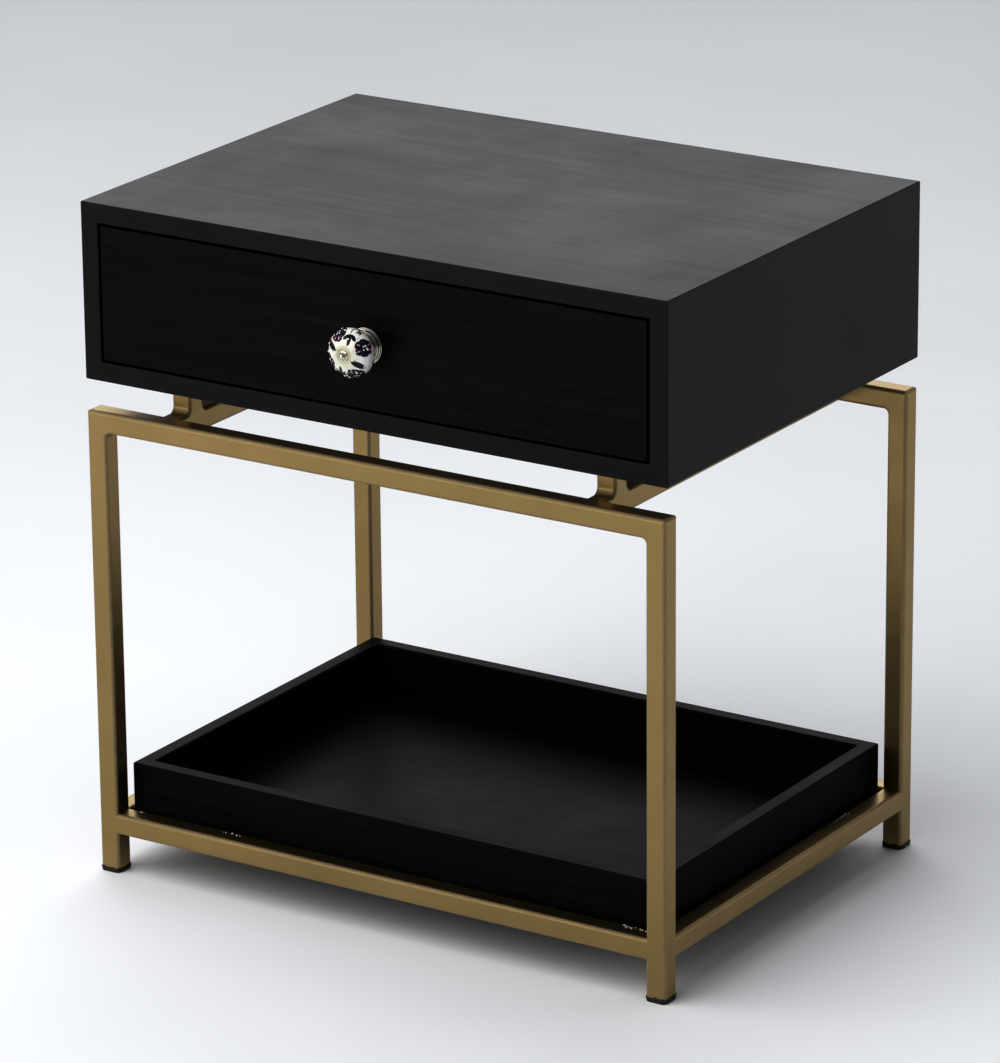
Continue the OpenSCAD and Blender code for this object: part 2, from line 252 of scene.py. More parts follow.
class Finish:
    """A procedural material. Each method adds one node and returns its output."""

    def __init__(self, name, **sockets):
        self.material = bpy.data.materials.new(name)
        self.material.use_nodes = True
        self.nodes = self.material.node_tree.nodes
        self.links = self.material.node_tree.links
        self.shader = self.nodes["Principled BSDF"]
        for key, value in sockets.items():
            self.shader.inputs[key.replace("_", " ")].default_value = value
        self.place = self.add("ShaderNodeTexCoord").node.outputs["Object"]

    def add(self, kind, inputs=(), **settings):
        node = self.nodes.new(kind)
        for key, value in settings.items():
            setattr(node, key, value)
        for key, value in dict(inputs).items():
            if isinstance(value, bpy.types.NodeSocket):
                self.links.new(value, node.inputs[key])
            else:
                node.inputs[key].default_value = value
        return node.outputs[0]

    def stretched(self, scale):
        """The place on the object with each axis scaled, for grain that runs one way."""
        return self.add("ShaderNodeMapping", {"Vector": self.place, "Scale": scale})

    def noise(self, scale, detail=3.0, roughness=0.55, distortion=0.0, vector=None):
        vector = vector or self.place
        values = {"Vector": vector, "Scale": scale, "Detail": detail, "Roughness": roughness,
                  "Distortion": distortion}
        return self.add("ShaderNodeTexNoise", values)

    def spread(self, value, low, high, to_low=0.0, to_high=1.0):
        """Maps low..high to to_low..to_high, held at both ends."""
        values = {"Value": value, "From Min": low, "From Max": high, "To Min": to_low, "To Max": to_high}
        return self.add("ShaderNodeMapRange", values)

    def maths(self, operation, first, second=0.0):
        return self.add("ShaderNodeMath", {0: first, 1: second}, operation=operation)

    def blend(self, factor, first, second):
        """A colour between two, as (r, g, b) or as sockets."""
        node = self.nodes.new("ShaderNodeMix")
        node.data_type = "RGBA"
        for key, value in (("Factor_Float", factor), ("A_Color", first), ("B_Color", second)):
            socket = next(s for s in node.inputs if s.identifier == key)
            if isinstance(value, bpy.types.NodeSocket):
                self.links.new(value, socket)
            else:
                socket.default_value = value if key == "Factor_Float" else (*value, 1)
        return next(s for s in node.outputs if s.identifier == "Result_Color")

    def edges(self, radius):
        """About 0 on flat ground, rising towards 1 within a radius of an edge."""
        soft = self.add("ShaderNodeBevel", {"Radius": radius}, samples=6)
        true = self.add("ShaderNodeNewGeometry").node.outputs["Normal"]
        dot = self.nodes.new("ShaderNodeVectorMath")
        dot.operation = "DOT_PRODUCT"
        self.links.new(soft, dot.inputs[0])
        self.links.new(true, dot.inputs[1])
        return self.spread(dot.outputs["Value"], 0.995, 0.8)

    def round_corners(self):
        """0 on the flats of a square tube, 1 on its rounded corners, from the way the surface faces."""
        facing = self.add("ShaderNodeTexCoord").node.outputs["Normal"]
        split = self.add("ShaderNodeSeparateXYZ", {0: facing}).node
        parts = [self.maths("ABSOLUTE", split.outputs[i]) for i in range(3)]
        largest = self.maths("MAXIMUM", self.maths("MAXIMUM", parts[0], parts[1]), parts[2])
        return self.spread(largest, 0.995, 0.93)

    def bump(self, height, strength, distance, under=None):
        values = {"Height": height, "Strength": strength, "Distance": distance}
        if under is not None:
            values["Normal"] = under
        return self.add("ShaderNodeBump", values)

    def specks(self, scale, share):
        """Sparse round specks: 1 inside, 0 outside. A speck's radius is a share of its cell."""
        cells = self.add("ShaderNodeTexVoronoi", {"Vector": self.place, "Scale": scale})
        return self.spread(cells, share, share * 0.6)

    def finish(self, colour, roughness, normal):
        for key, value in (("Base Color", colour), ("Roughness", roughness), ("Normal", normal)):
            self.links.new(value, self.shader.inputs[key])
        return self.material


def gold_paint():
    """Satin metallic paint with fine flake, faint runs in tone, and grainy tube corners lightened partly as
    rubbed wear and partly as a painted highlight.
    """
    f = Finish("gold_paint", Metallic=0.97, Specular_IOR_Level=0.5)
    tone = f.noise(9, 4)
    flake = f.noise(2600, 1)
    grit = f.noise(900, 2)
    base = f.blend(f.spread(tone, 0.3, 0.7), (0.268, 0.194, 0.086), (0.328, 0.238, 0.108))
    base = f.blend(f.spread(flake, 0.45, 0.75, 0, 0.35), base, (0.45, 0.34, 0.17))
    corners = f.round_corners()
    # The rounded corners are lightened in grains: partly rubbed wear, partly a painted highlight along the
    # tube edges.
    rubbed_wear_and_highlight = f.maths("MULTIPLY", corners, f.spread(grit, 0.40, 0.65, 0.12, 0.5))
    base = f.blend(rubbed_wear_and_highlight, base, (0.54, 0.46, 0.31))
    dirt = f.specks(260, 0.035)
    base = f.blend(f.maths("MULTIPLY", dirt, 0.5), base, (0.12, 0.08, 0.04))
    satin = f.spread(f.noise(38, 4), 0.3, 0.7, 0.32, 0.40)
    rough = f.maths("ADD", satin, f.maths("MULTIPLY", corners, 0.32))
    peel = f.bump(f.noise(420, 2), 0.14, 0.08 * MM)
    grain = f.bump(grit, 0.16, 0.06 * MM, peel)
    return f.finish(base, rough, f.bump(flake, 0.14, 0.03 * MM, grain))


def black_wood(name, grain, gloss=0.36, sheen=0.15, texture=0.2):
    """Black stained and lacquered wood. The grain runs along one axis; the lacquer shows its pores."""
    f = Finish(name, Specular_IOR_Level=sheen)
    along = [4.0 if axis == grain else 95.0 for axis in range(3)]
    fine = [14.0 if axis == grain else 620.0 for axis in range(3)]
    bands = f.noise(1, 4, 0.6, 0.6, f.stretched(along))
    pores = f.noise(1, 3, 0.6, 0, f.stretched(fine))
    cloud = f.noise(7, 4, 0.6, 0.3)
    base = f.blend(f.spread(bands, 0.3, 0.7), (0.0028, 0.0027, 0.0026), (0.0070, 0.0067, 0.0064))
    base = f.blend(f.spread(pores, 0.42, 0.36, 0, 0.7), base, (0.002, 0.002, 0.002))
    worn = f.maths("MULTIPLY", f.edges(1.2 * MM), f.spread(f.noise(160, 4), 0.45, 0.75, 0.05, 0.8))
    base = f.blend(worn, base, (0.035, 0.033, 0.031))
    dust = f.maths("MULTIPLY", f.specks(150, 0.05), f.spread(f.noise(31, 2), 0.55, 0.62))
    base = f.blend(f.maths("MULTIPLY", dust, 0.5), base, (0.16, 0.16, 0.16))
    smear = f.maths("ADD", f.spread(cloud, 0.3, 0.7, -0.05, 0.05), f.spread(bands, 0.3, 0.7, -0.03, 0.03))
    rough = f.maths("ADD", smear, gloss)
    ridges = f.bump(bands, texture, 0.05 * MM, f.bump(f.noise(190, 4), texture, 0.05 * MM))
    normal = f.bump(f.spread(pores, 0.42, 0.36, 1, 0), 0.25, 0.04 * MM, ridges)
    return f.finish(base, rough, normal)


def plain_wood(name, grain):
    """Pale sanded hardwood of the drawer box."""
    f = Finish(name, Specular_IOR_Level=0.35)
    along = [3.0 if axis == grain else 46.0 for axis in range(3)]
    fine = [18.0 if axis == grain else 700.0 for axis in range(3)]
    rings = f.noise(1, 5, 0.6, 0.9, f.stretched(along))
    pores = f.noise(1, 2, 0.6, 0, f.stretched(fine))
    base = f.blend(f.spread(rings, 0.32, 0.68), (0.50, 0.335, 0.19), (0.66, 0.48, 0.30))
    base = f.blend(f.spread(pores, 0.44, 0.37, 0, 0.55), base, (0.30, 0.18, 0.09))
    rough = f.spread(f.noise(24, 4), 0.3, 0.7, 0.5, 0.66)
    normal = f.bump(pores, 0.3, 0.06 * MM, f.bump(rings, 0.15, 0.08 * MM))
    return f.finish(base, rough, normal)


def glaze():
    """White glaze of the knob, creamier in the dish round its cap."""
    f = Finish("white_glaze", Coat_Weight=1.0, Coat_Roughness=0.04, Specular_IOR_Level=0.6)
    dish = BALL_MIDDLE.y - BALL_HALF
    axis_point = f.add("ShaderNodeCombineXYZ", {"X": BALL_MIDDLE.x, "Y": dish, "Z": KNOB_Z})
    away = f.nodes.new("ShaderNodeVectorMath")
    away.operation = "DISTANCE"
    f.links.new(f.place, away.inputs[0])
    f.links.new(axis_point, away.inputs[1])
    base = f.blend(f.spread(f.noise(110, 3), 0.35, 0.65), (0.76, 0.76, 0.73), (0.83, 0.83, 0.80))
    base = f.blend(f.spread(away.outputs["Value"], 17 * MM, 8 * MM), base, (0.62, 0.60, 0.44))
    rough = f.spread(f.noise(60, 3), 0.3, 0.7, 0.07, 0.14)
    normal = f.bump(f.noise(170, 2), 0.10, 0.15 * MM)
    return f.finish(base, rough, normal)


def enamel(name, dark, light, gloss=0.8):
    """Brushed-on enamel of the knob's painting, a little uneven."""
    f = Finish(name, Coat_Weight=gloss, Coat_Roughness=0.06, Specular_IOR_Level=gloss / 2)
    base = f.blend(f.spread(f.noise(520, 3), 0.35, 0.65), dark, light)
    rough = f.spread(f.noise(240, 3), 0.3, 0.7, 0.12, 0.24)
    return f.finish(base, rough, f.bump(f.noise(700, 2), 0.2, 0.05 * MM))


def metal(name, colour, roughness, brushed=None):
    """Bare or plated metal. Brushed is the axis along which its fine lines run."""
    f = Finish(name, Metallic=1.0)
    lines = [30.0 if axis == brushed else 1500.0 for axis in range(3)]
    fine = f.noise(1, 3, 0.6, 0, f.stretched(lines))
    cloud = f.noise(45, 4)
    darker = tuple(c * 0.82 for c in colour)
    base = f.blend(f.spread(cloud, 0.3, 0.7), darker, colour)
    brighter = tuple(min(1, c * 1.2) for c in colour)
    base = f.blend(f.maths("MULTIPLY", f.edges(0.4 * MM), 0.4), base, brighter)
    rough = f.spread(f.maths("ADD", fine, cloud), 0.7, 1.3, roughness * 0.75, roughness * 1.3)
    return f.finish(base, rough, f.bump(fine, 0.15, 0.02 * MM))


def foot_plastic():
    """Black moulded plastic with a fine matt texture, scuffed at its rim."""
    f = Finish("foot_plastic", Specular_IOR_Level=0.4)
    scuff = f.maths("MULTIPLY", f.edges(0.8 * MM), f.spread(f.noise(300, 4), 0.45, 0.7))
    base = f.blend(f.noise(90, 4), (0.006, 0.006, 0.006), (0.014, 0.014, 0.014))
    base = f.blend(f.maths("MULTIPLY", scuff, 0.6), base, (0.08, 0.08, 0.08))
    rough = f.spread(f.noise(200, 3), 0.3, 0.7, 0.48, 0.66)
    return f.finish(base, rough, f.bump(f.noise(1800, 2), 0.3, 0.05 * MM))


def white_foam():
    """Crumbs of packing foam."""
    f = Finish("foam_crumbs", Specular_IOR_Level=0.3)
    base = f.blend(f.noise(900, 3), (0.55, 0.55, 0.53), (0.85, 0.85, 0.83))
    rough = f.spread(f.noise(700, 2), 0.3, 0.7, 0.7, 0.95)
    return f.finish(base, rough, f.bump(f.noise(2200, 3), 0.8, 0.3 * MM))


def pale_floor():
    """Plain pale studio floor."""
    f = Finish("pale_floor", Specular_IOR_Level=0.0)
    base = f.blend(f.spread(f.noise(1.3, 3), 0.3, 0.7), (0.78, 0.79, 0.82), (0.83, 0.84, 0.87))
    rough = f.spread(f.noise(4, 3), 0.3, 0.7, 0.75, 0.9)
    return f.finish(base, rough, f.bump(f.noise(260, 3), 0.1, 0.3 * MM))


GOLD = gold_paint()
WOOD_X = black_wood("black_wood_along_x", 0)
WOOD_Z = black_wood("black_wood_along_z", 2)
# The drawer face and the tray use the case's black lacquer with less sheen. This is painted shade, which
# makes them darker than the case around them.
SHADED_FACE_WOOD = black_wood("black_wood_drawer_face_shaded", 0, 0.38, 0.055)
SHADED_TRAY_WOOD_X = black_wood("black_wood_tray_shaded_along_x", 0, 0.40, 0.03, 0.6)
SHADED_TRAY_WOOD_Y = black_wood("black_wood_tray_shaded_along_y", 1, 0.40, 0.03, 0.6)
DRAWER_WOOD_X = plain_wood("drawer_wood_along_x", 0)
DRAWER_WOOD_Y = plain_wood("drawer_wood_along_y", 1)
WHITE_GLAZE = glaze()
NIGHT_BLUE = enamel("night_blue_enamel", (0.004, 0.005, 0.016), (0.010, 0.013, 0.034), 0.3)
LEAF_BLACK = enamel("leaf_black_enamel", (0.003, 0.005, 0.005), (0.008, 0.012, 0.010), 0.25)
PINK = enamel("pink_enamel", (0.42, 0.16, 0.19), (0.62, 0.30, 0.33))
WHITE_DOTS = enamel("white_dot_enamel", (0.70, 0.70, 0.66), (0.86, 0.86, 0.83))
NICKEL = metal("polished_nickel", (0.70, 0.67, 0.58), 0.18)
ZINC = metal("zinc_plate", (0.60, 0.62, 0.64), 0.34, brushed=1)
SCREW_STEEL = metal("screw_steel", (0.55, 0.55, 0.54), 0.30)
BRASS = metal("insert_brass", (0.72, 0.52, 0.22), 0.28)
PLASTIC = foot_plastic()
FOAM = white_foam()


# ---- CAD nodes that keep their shape ---------------------------------------------------------

def dress(node, material):
    """Gives a CAD node its material."""
    slots = NODES[node].data.materials
    slots.clear()
    slots.append(material)


def join(node):
    """Joins the corners of a CAD node's triangles where they meet."""
    weld = NODES[node].modifiers.new("join", "WELD")
    weld.merge_threshold = 1e-6


def ease(node, width):
    """Rounds a CAD node's sharp edges a little."""
    join(node)
    piece = NODES[node]
    flat = piece.modifiers.new("flatten", "DECIMATE")
    flat.decimate_type = "DISSOLVE"
    flat.angle_limit = math.radians(2)
    bevel = piece.modifiers.new("ease", "BEVEL")
    bevel.width = width
    bevel.segments = 3
    bevel.limit_method = "ANGLE"
    bevel.angle_limit = math.radians(50)
    bevel.use_clamp_overlap = False
    normals = piece.modifiers.new("shade", "WEIGHTED_NORMAL")
    normals.keep_sharp = True


def dress_cad_nodes():
    for end, side in CORNERS:
        dress(f"leg_{end}_{side}", GOLD)
        dress(f"post_{end}_{side}", GOLD)
    for end in ENDS:
        dress(f"top_rail_{end}", GOLD)
        dress(f"bottom_rail_{end}", GOLD)
    for side in SIDES:
        dress(f"bottom_rail_{side}", GOLD)
        dress(f"runner_{side}", GOLD)
        dress(f"tray_bearer_{side}", GOLD)
        ease(f"tray_bearer_{side}", 0.6 * MM)
        for node in (f"slide_outer_{side}", f"slide_inner_{side}", f"ball_cage_{side}"):
            dress(node, ZINC)
        dress(f"bearing_balls_{side}", NICKEL)
        join(f"bearing_balls_{side}")
        dress(f"drawer_side_{side}", DRAWER_WOOD_Y)
        ease(f"drawer_side_{side}", 0.8 * MM)
    for node in ("drawer_front_board", "drawer_back"):
        dress(node, DRAWER_WOOD_X)
        ease(node, 0.8 * MM)
    dress("drawer_bottom", DRAWER_WOOD_X)
    dress("drawer_face", SHADED_FACE_WOOD)
    ease("drawer_face", 0.9 * MM)
    dress("case_back", WOOD_X)
    ease("case_back", 0.8 * MM)
    dress("tray_floor", SHADED_TRAY_WOOD_X)
    ease("tray_floor", 0.3 * MM)
    easings = {"frame_bolts": 0.5, "bolt_washers": 0.2, "knob_washer": 0.2, "knob_nut": 0.4}
    for node, width in easings.items():
        dress(node, SCREW_STEEL)
        ease(node, width * MM)
    dress("threaded_inserts", BRASS)


# ---- mitred rings: the case and the tray's walls ---------------------------------------------

def eased_section(thickness, width, easing):
    """Outline of a board's end: (depth, along, normal of both), with eased edges."""
    steps = 4
    outline = []
    for corner in range(4):
        depth_side = 1 if corner in (0, 3) else -1
        along_side = 1 if corner < 2 else -1
        for i in range(steps + 1):
            angle = math.pi / 2 * (corner + i / steps)
            depth = thickness / 2 + depth_side * (thickness / 2 - easing) + easing * math.cos(angle)
            along = along_side * (width / 2 - easing) + easing * math.sin(angle)
            outline.append((depth, along, math.cos(angle), math.sin(angle)))
    return outline


def mitred_board(name, centre, outward, axis, half_out, half_long, thickness, width, easing, corner):
    """One board of a ring. Its ends are mitred, and the ring's outer corners are rounded."""
    tangent = outward.cross(axis)
    steps = 4
    angles = [math.pi / 4 * i / steps for i in range(-steps, steps + 1)]
    stations = [(-1, a) for a in angles[:steps + 1]] + [(1, a) for a in angles[steps:]]
    section = eased_section(thickness, width, easing)

    def corner_of(end, angle, depth, along, depth_normal, along_normal):
        if depth < corner:
            reach = corner - depth
            down = corner - reach * math.cos(angle)
            shift = end * (half_long - corner) + reach * math.sin(angle)
        else:
            down = depth
            shift = end * (half_long - depth)
            angle = 0
        point = centre + outward * (half_out - down) + tangent * shift + axis * along
        lean = outward * math.cos(angle) + tangent * math.sin(angle)
        return point, -lean * depth_normal + axis * along_normal

    shell = Shell()
    rows = [[corner_of(end, angle, *s) for s in section] for end, angle in stations]
    for row, following in zip(rows, rows[1:]):
        for i in range(len(section)):
            j = (i + 1) % len(section)
            shell.face([row[i], following[i], following[j], row[j]])
    for row, end in ((rows[0], -1), (rows[-1], 1)):
        normal = (tangent * end - outward).normalized()
        cap = [(point, normal) for point, _ in row]
        shell.face(cap if end < 0 else cap[::-1])
    return shell.mesh(name)


def add_case():
    """The case's four panels, mitred at its corners."""
    easing = 1.1 * MM
    corner = 1.3 * MM
    centre = (CASE_LOW + CASE_HIGH) / 2
    half = (CASE_HIGH - CASE_LOW) / 2
    boards = {"case_top": (Z, WOOD_X), "case_bottom": (-Z, WOOD_X),
              "case_left": (-X, WOOD_Z), "case_right": (X, WOOD_Z)}
    for node, (outward, wood) in boards.items():
        flat = abs(outward.z) > 0
        mesh = mitred_board(node + "_board", centre, outward, Y, half.z if flat else half.x,
                            half.x if flat else half.z, PANEL, 2 * half.y, easing, corner)
        add_piece(node + "_board", mesh, "root", wood, [node])


def add_tray_walls():
    """The tray's four walls, mitred at its corners."""
    easing = 1.8 * MM
    corner = 2 * MM
    centre = (TRAY_LOW + TRAY_HIGH) / 2
    half = (TRAY_HIGH - TRAY_LOW) / 2
    thickness = size("tray_wall_front").y
    walls = {"tray_wall_front": (-Y, SHADED_TRAY_WOOD_X), "tray_wall_rear": (Y, SHADED_TRAY_WOOD_X),
             "tray_wall_left": (-X, SHADED_TRAY_WOOD_Y), "tray_wall_right": (X, SHADED_TRAY_WOOD_Y)}
    for node, (outward, wood) in walls.items():
        long_wall = abs(outward.y) > 0
        mesh = mitred_board(node + "_board", centre, outward, Z, half.y if long_wall else half.x,
                            half.x if long_wall else half.y, thickness, 2 * half.z, easing, corner)
        add_piece(node + "_board", mesh, "tray", wood, [node])


# ---- welds of the frame ----------------------------------------------------------------------

def run_on(solids, start, direction, up):
    """Carries a tube's outline on past its end, to fill its neighbour's rounded corner."""
    outline = rounded_square(TUBE / 2, TUBE_CORNER)
    across = up.cross(direction)
    solids.loft([place_ring(outline, start + direction * depth, across, up) for depth in (0, TUBE_CORNER)])


def fillet(solids, corner, first, second, radius):
    """Hollow weld fillet in the corner of two tubes, whose faces run off along first and second.

    The tubes' rounded edges run on round the fillet, so each ring is a slice of the tube's inner side.
    """
    centre = corner + (first + second) * radius
    sideways = first.cross(second)
    flat = TUBE / 2 - TUBE_CORNER
    steps = 5
    turns = [math.pi / 2 * i / steps for i in range(steps + 1)]
    edge = [(flat + TUBE_CORNER * math.sin(a), radius + TUBE_CORNER * (1 - math.cos(a))) for a in turns]
    sunk = 0.4 * MM
    overlap = 0.01 * MM
    slices = 10
    rings = []
    for i in range(slices + 1):
        angle = math.pi / 2 * i / slices
        inward = -second * math.cos(angle) - first * math.sin(angle)
        back = (radius + TUBE_CORNER) / max(math.cos(angle), math.sin(angle)) + overlap
        half = edge + [(TUBE / 2, back), (TUBE / 2 - sunk, back + sunk)]
        ring = [(-side, reach) for side, reach in reversed(half)] + half
        rings.append(place_ring(ring, centre, sideways, inward))
    solids.loft(rings)


def add_welds():
    """Tube ends that run into their neighbours, and fillets at the posts and at the tops of the legs."""
    post_fillet = 6 * MM
    leg_fillet = 5 * MM
    ends = Solids()
    for node, along, up in ([(f"bottom_rail_{end}", X, Z) for end in ENDS]
                            + [(f"bottom_rail_{side}", Y, Z) for side in SIDES]
                            + [(f"runner_{side}", Y, Z) for side in SIDES]):
        half = size(node).dot(along) / 2
        for way in (-1, 1):
            run_on(ends, middle(node) + along * way * half, along * way, up)
    corners = Solids()
    for end, side in CORNERS:
        sign = SIDES[side]
        post_low, post_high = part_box(f"post_{end}_{side}")
        foot_of_post = (post_low + post_high) / 2
        foot_of_post.z = post_low.z
        run_on(ends, foot_of_post, -Z, X)
        for way in (-1, 1):
            fillet(corners, foot_of_post + Y * way * TUBE / 2, Z, Y * way, post_fillet)
        inner = middle(f"leg_{end}_{side}")
        inner.x -= sign * TUBE / 2
        inner.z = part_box(f"top_rail_{end}")[0].z
        fillet(corners, inner, -Z, -X * sign, leg_fillet)
    add_piece("weld_ends", ends.mesh("weld_ends"), "root", GOLD)
    add_piece("weld_fillets", corners.mesh("weld_fillets"), "root", GOLD)


# ---- feet ------------------------------------------------------------------------------------

def add_feet():
    """Black pads whose upper edge is a thin ragged lip round the leg, with a plug inside the leg."""
    curve = 5
    pieces = 12
    plug = TUBE / 2 - 1.6 * MM
    chamfer = 1 * MM
    gap = 0.02 * MM
    sole = [(0, 0.9), (0.3, 0.55), (0.9, 0.45), (2.2, 0.35), (2.8, 0.1), (3.3, 0), (3.8, 0.1)]
    for end, side in CORNERS:
        node = f"foot_{end}_{side}"
        low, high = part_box(node)
        base = (low + high) / 2
        base.z = low.z
        leg_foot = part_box(f"leg_{end}_{side}")[0].z - low.z
        pad = (high.x - low.x) / 2
        rings = []
        for height, inset in sole:
            outline = rounded_square(pad - inset * MM, TUBE_CORNER + 1 * MM, curve, pieces)
            ring = place_ring(outline, base + Z * height * MM, X, Y)
            if height > 2.5:
                for point in ring:
                    torn = 0.2 + 1.1 * noise.noise(point * 500)
                    outward = Vector((point.x - base.x, point.y - base.y, 0)).normalized()
                    point -= outward * min(0.8, max(0, torn)) * MM
            rings.append(ring)
        for climb, skin in ((0.7, 0.45), (2.0, 0.16), (2.0, 0.02)):
            outline = rounded_square(TUBE / 2 + skin * MM, TUBE_CORNER, curve, pieces)
            ring = place_ring(outline, base + Z * leg_foot, X, Y)
            for point in ring:
                rag = 0.15 + 1.6 * noise.noise(Vector((point.x, point.y, base.z)) * 430)
                point.z += climb * MM * min(1.0, max(0.05, rag))
            rings.append(ring)
        shoulder = leg_foot - gap
        tall = high.z - low.z
        for half, height in ((TUBE / 2 - gap, shoulder), (plug, shoulder),
                             (plug, tall - chamfer), (plug - chamfer, tall)):
            rings.append(place_ring(rounded_square(half, 2 * MM, curve, pieces), base + Z * height, X, Y))
        solids = Solids()
        solids.loft(rings)
        add_piece(node + "_pad", solids.mesh(node + "_pad"), "root", PLASTIC, [node])


# ---- knob ------------------------------------------------------------------------------------

KNOB_BORE = 2.6
DISH_DEPTH = 1.3


def turned(name, outline, material, node):
    """Turns a closed outline of (height over the drawer's face, radius) about the knob's axis."""
    sides = 96
    rings = []
    for height, radius in outline:
        rings.append(place_ring(circle(radius, sides), Vector((0, FACE_Y - height, KNOB_Z)), X, Z))
    solids = Solids()
    solids.loft(rings, loop=True)
    add_piece(name, solids.mesh(name, 40), "drawer", material, [node])


def add_knob_body():
    """Flattened glazed ball with a shallow dish for the cap."""
    middle_height = (FACE_Y - BALL_MIDDLE.y) / MM
    radius = BALL_RADIUS / MM
    half = BALL_HALF / MM
    low = middle_height - half * math.sin(BALL_FLAT_ANGLE)
    high = middle_height + half * math.sin(BALL_FLAT_ANGLE)
    rim = radius * math.cos(BALL_FLAT_ANGLE)
    seat = high - DISH_DEPTH
    steps = 40
    turn = BALL_FLAT_ANGLE * 0.97
    ball = []
    for i in range(steps + 1):
        angle = -turn + 2 * turn * i / steps
        ball.append((middle_height + half * math.sin(angle), radius * math.cos(angle)))
    corners = [(high, rim - 0.4, 0.5), (high, rim - 1.3, 0.35), (high - 1.1, rim - 2.4, 0.6),
               (seat, 4.4, 0.3), (seat, KNOB_BORE, 0), (low, KNOB_BORE, 0), (low, rim - 0.5, 0.4)]
    dish = [tuple(p) for p in rounded_path(corners)]
    outline = [(height * MM, r * MM) for height, r in ball + dish]
    turned("knob_ball", outline, WHITE_GLAZE, "knob_body")


def add_knob_base():
    """Polished stepped collar with rounded edges."""
    flange = size("knob_base").x / 2 / MM
    top = size("knob_base").y / MM
    corners = [(0, KNOB_BORE, 0), (0, flange, 0.3), (1.6, flange, 0.6), (1.6, flange - 1.6, 0.3),
               (5.2, flange - 1.9, 1.3), (5.2, flange - 3.6, 0.3), (7.4, flange - 4.3, 0.8),
               (7.4, flange - 6.3, 0.3), (top, flange - 6.6, 0.3), (top, KNOB_BORE, 0)]
    outline = [(p[0] * MM, p[1] * MM) for p in rounded_path(corners)]
    turned("knob_collar", outline, NICKEL, "knob_base")


def add_knob_bolt():
    """Bolt through the knob with a domed cap, which has a thin rim round a raised button."""
    low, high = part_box("knob_bolt")
    tip = (high.y - FACE_Y) / MM
    crown = (FACE_Y - low.y) / MM
    cap = size("knob_bolt").x / 2 / MM
    seat = (FACE_Y - BALL_MIDDLE.y + BALL_HALF * math.sin(BALL_FLAT_ANGLE)) / MM - DISH_DEPTH
    shank = 2.5
    centre = 0.01
    lip = seat + 1.6
    steps = 10
    dome = []
    for i in range(steps + 1):
        angle = math.pi / 2 * i / steps
        dome.append((lip + (crown - lip) * math.sin(angle), centre + (cap - 1.0) * math.cos(angle)))
    corners = [(-tip, centre, 0), (-tip, shank, 0.5), (seat, shank, 0), (seat, cap, 0.1), (lip, cap, 0.5)]
    outline = [tuple(p) for p in rounded_path(corners)] + dome
    turned("knob_cap_bolt", [(h * MM, r * MM) for h, r in outline], NICKEL, "knob_bolt")


class Painting:
    """Raised strokes on the knob's ball, laid out in millimetres round a spot on it."""

    def __init__(self, around, latitude, spin=0.0):
        """Around turns from +X to +Z about the knob's axis. Latitude is 0 at the widest ring."""
        around = math.radians(around)
        latitude = math.radians(latitude)
        outward = X * math.cos(around) + Z * math.sin(around)
        self.spot = outward * BALL_RADIUS * math.cos(latitude) - Y * BALL_HALF * math.sin(latitude)
        normal = self.normal(self.spot)
        sideways = normal.cross(Y).normalized()
        upwards = normal.cross(sideways)
        spin = math.radians(spin)
        self.across = sideways * math.cos(spin) + upwards * math.sin(spin)
        self.up = upwards * math.cos(spin) - sideways * math.sin(spin)

    def normal(self, point):
        """Outward normal of the ball at a point given from its middle."""
        return Vector((point.x / BALL_RADIUS ** 2, point.y / BALL_HALF ** 2,
                       point.z / BALL_RADIUS ** 2)).normalized()

    def point(self, u, v, height):
        """The point over the ball at (u, v) from the spot, raised by a height."""
        flat = self.spot + (self.across * u + self.up * v) * MM
        reach = math.sqrt((flat.x ** 2 + flat.z ** 2) / BALL_RADIUS ** 2 + flat.y ** 2 / BALL_HALF ** 2)
        surface = flat / reach
        return BALL_MIDDLE + surface + self.normal(surface) * height * MM

    def stroke(self, solids, outline, height):
        """A closed raised patch with a rounded edge that follows the ball."""
        u = sum(p[0] for p in outline) / len(outline)
        v = sum(p[1] for p in outline) / len(outline)
        rings = [[self.point(u, v, height)]]
        for share, lift in ((0.3, 1), (0.6, 1), (0.85, 1), (0.97, 0.7), (1, 0), (1, -2)):
            rings.append([self.point(u + (p[0] - u) * share, v + (p[1] - v) * share, height * lift)
                          for p in outline])
        rings.append([self.point(u, v, -5 * height)])
        solids.loft(rings)

    def dot(self, solids, u, v, width, height):
        """A round drop of enamel."""
        self.stroke(solids, [(u + x, v + y) for x, y in circle(width / 2, 12)], height)

    def leaf(self, solids, start, angle, length, width, height, sharpness, tip_share, bend=0.0):
        """A petal or leaf from a start in one direction. A larger tip share makes it wider at the tip."""
        angle = math.radians(angle)
        outline = []
        count = 28
        for i in range(count):
            turn = 2 * math.pi * i / count
            along = length / 2 * (1 + math.cos(turn))
            swell = 1 + tip_share * math.cos(turn)
            side = width / 2 * math.copysign(abs(math.sin(turn)) ** sharpness, math.sin(turn)) * swell
            side += bend * along * (1 - along / length)
            outline.append((start[0] + along * math.cos(angle) - side * math.sin(angle),
                            start[1] + along * math.sin(angle) + side * math.cos(angle)))
        self.stroke(solids, outline, height)


